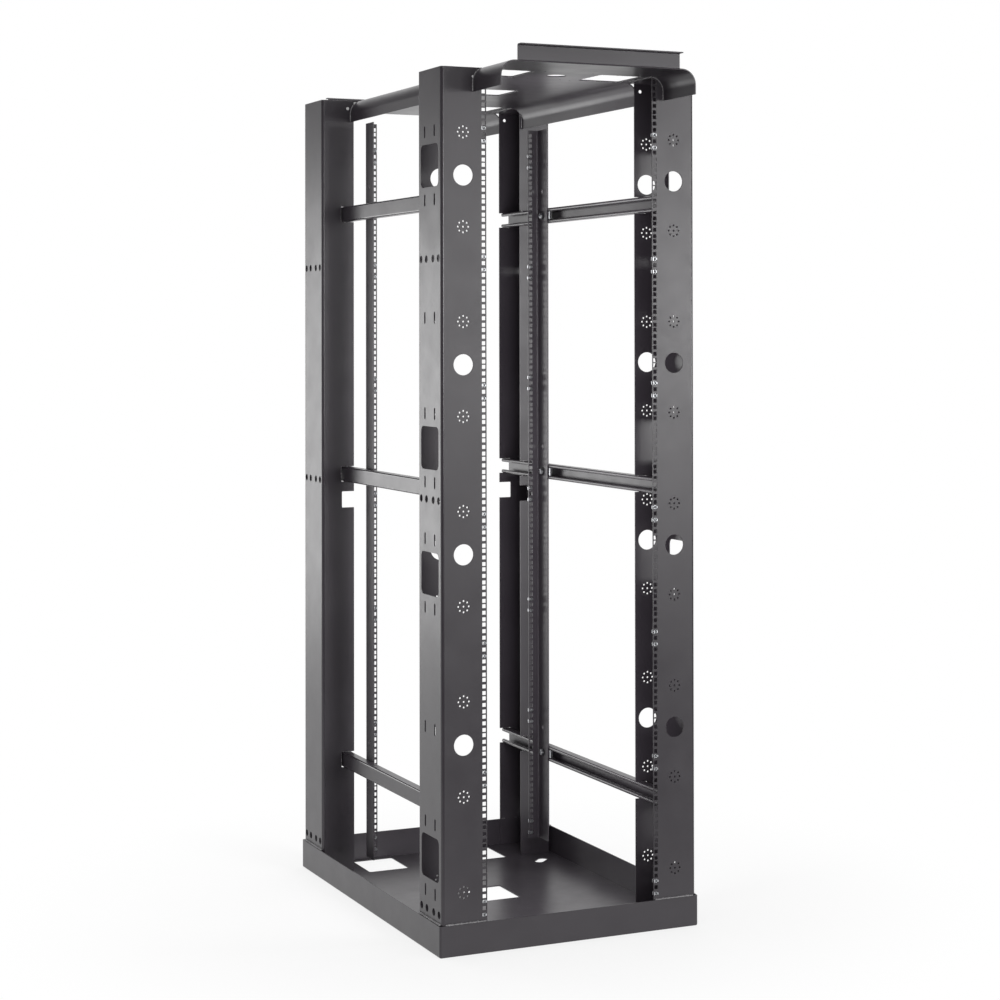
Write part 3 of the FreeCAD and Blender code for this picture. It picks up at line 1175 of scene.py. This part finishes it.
def studio_world():
    """Soft grey light, and a white background that the camera and reflections see.

    In reflections the background stays white behind the rack. It gets darker in front and high up
    on the left, like a studio that is lit from its back wall.
    """
    world = bpy.data.worlds.new("studio")
    bpy.context.scene.world = world
    world.use_nodes = True
    nodes = world.node_tree.nodes
    links = world.node_tree.links
    background = nodes["Background"]
    background.inputs["Color"].default_value = (1, 1, 1, 1)
    path = nodes.new("ShaderNodeLightPath")
    coords = nodes.new("ShaderNodeTexCoord")
    parts = nodes.new("ShaderNodeSeparateXYZ")
    links.new(coords.outputs["Generated"], parts.inputs[0])

    def ranged(source, low, high, to_low, to_high):
        node = nodes.new("ShaderNodeMapRange")
        node.interpolation_type = "SMOOTHSTEP"
        node.inputs["From Min"].default_value = low
        node.inputs["From Max"].default_value = high
        node.inputs["To Min"].default_value = to_low
        node.inputs["To Max"].default_value = to_high
        links.new(source, node.inputs["Value"])
        return node.outputs["Result"]

    def combined(operation, first, second):
        node = nodes.new("ShaderNodeMath")
        node.operation = operation
        links.new(first, node.inputs[0])
        links.new(second, node.inputs[1])
        return node.outputs[0]

    behind = ranged(parts.outputs["Y"], -0.3, 0.6, 0.35, 1.0)
    to_the_right = ranged(parts.outputs["X"], -0.25, 0.1, 0.2, 1.0)
    low_down = ranged(parts.outputs["Z"], 0.0, 0.16, 1.0, 0.0)
    wall = combined("MULTIPLY", behind, combined("MAXIMUM", to_the_right, low_down))
    seen = combined("MAXIMUM", path.outputs["Is Glossy Ray"], path.outputs["Is Transmission Ray"])
    reflected = combined("MULTIPLY", seen, wall)
    direct = combined("MAXIMUM", path.outputs["Is Camera Ray"], reflected)
    light = ranged(seen_directly(nodes, links), 0.0, 1.0, world_light, 0.0)
    links.new(combined("MAXIMUM", direct, light), background.inputs["Strength"])


def soft_box(name, place, aim, width, height, power, reflected=True):
    light = bpy.data.lights.new(name, "AREA")
    light.shape = "RECTANGLE"
    light.size = width
    light.size_y = height
    light.energy = power
    lamp = bpy.data.objects.new(name, light)
    lamp.location = place
    lamp.rotation_euler = (Vector(aim) - Vector(place)).to_track_quat("-Z", "Y").to_euler()
    lamp.visible_camera = False
    lamp.visible_glossy = reflected
    bpy.context.scene.collection.objects.link(lamp)


camera_place = (-2.3557, -5.5721, 1.5016)
camera_yaw = 0.449
camera_up = 0.011
camera_roll = -0.002
camera_lens = 81.5
camera_shift = (-0.100, -0.195)


def add_camera():
    data = bpy.data.cameras.new("camera")
    data.lens = camera_lens
    data.sensor_width = 36.0
    data.shift_x, data.shift_y = camera_shift
    camera = bpy.data.objects.new("camera", data)
    turn = Matrix.Rotation(-camera_yaw, 4, "Z") @ Matrix.Rotation(math.pi / 2 + camera_up, 4, "X")
    camera.matrix_world = Matrix.Translation(camera_place) @ turn @ Matrix.Rotation(camera_roll, 4, "Z")
    bpy.context.scene.collection.objects.link(camera)
    bpy.context.scene.camera = camera


studio_floor()
studio_world()
soft_box("front_middle", (0.0, -12.0, 1.9), (0.0, 0.0, 1.5), 4.2, 2.2, 310)
soft_box("front_right", (4.9, -11.6, 1.7), (0.0, 0.0, 1.5), 2.1, 2.2, 84)
soft_box("far_right", (7.3, -10.8, 1.7), (0.0, 0.0, 1.5), 2.4, 2.3, 310)
soft_box("back_left", (-3.0, 5.25, 1.08), (-0.3, 0.0, 1.08), 2.3, 2.15, 47)
soft_box("top", (0.0, 0.5, 5.0), (0.0, 0.0, 0.0), 3.5, 3.5, 80)
soft_box("bay_fill", (0.0, -0.47, 1.1), (0.0, 1.0, 1.1), 0.25, 1.9, 12, reflected=False)
add_camera()
bpy.context.scene.view_settings.view_transform = "Standard"
